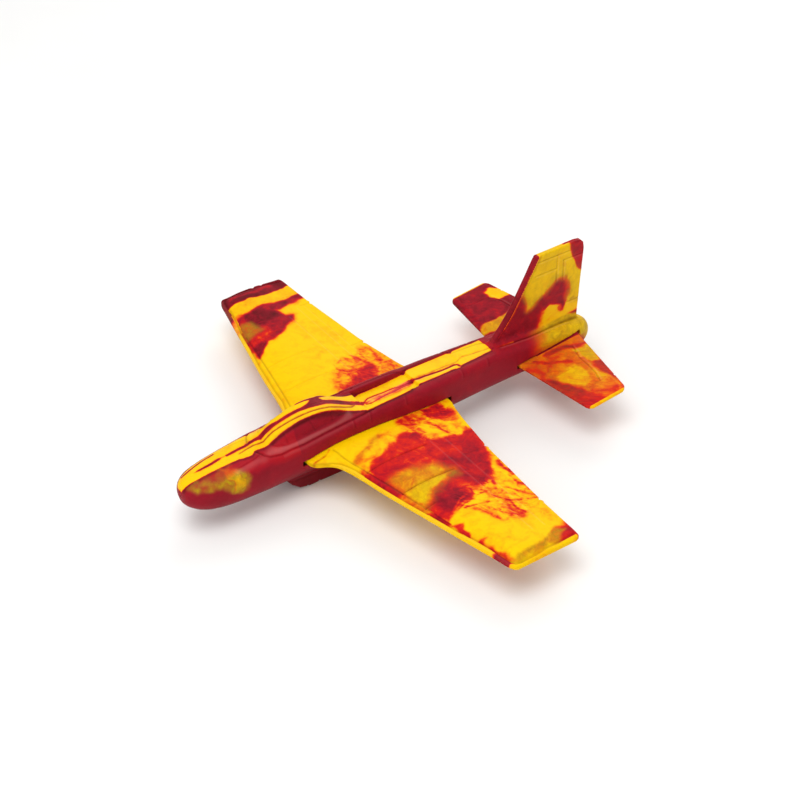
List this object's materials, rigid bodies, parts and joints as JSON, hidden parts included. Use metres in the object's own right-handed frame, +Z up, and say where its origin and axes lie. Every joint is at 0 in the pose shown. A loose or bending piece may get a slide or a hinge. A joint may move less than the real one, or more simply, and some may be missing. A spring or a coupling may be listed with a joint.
{
  "type": "foam hand-throw glider",
  "caption": "Moulded two-colour foam hand-throw glider, low-wing fighter shape, with a one-piece wing and tailplane that slide through slots in a two-half fuselage.",
  "frame": {"origin": "middle of the flat face under the belly scoop, on the bond plane of the two fuselage halves", "axes": "+X towards the nose, +Y towards the port wing tip, +Z up"},
  "size_m": [0.2826, 0.3, 0.0895],
  "materials": {
    "fuselage_foam": "matte",
    "wing_foam": "matte",
    "tail_foam": "matte",
    "ballast_steel": "satin"
  },
  "bodies": {
    "fuselage": {"fuselage_left_half": "fuselage_foam", "fuselage_right_half": "fuselage_foam", "nose_weight": "ballast_steel"},
    "wing": {"wing": "wing_foam"},
    "tailplane": {"tailplane": "tail_foam"}
  },
  "joints": [
    {"name": "wing_slide", "type": "slide", "parent": "fuselage", "child": "wing", "axis": [0, 1, 0], "range_m": [-0.17, 0.17]},
    {"name": "tailplane_slide", "type": "slide", "parent": "fuselage", "child": "tailplane", "axis": [0, 1, 0], "range_m": [-0.09, 0.09]}
  ]
}
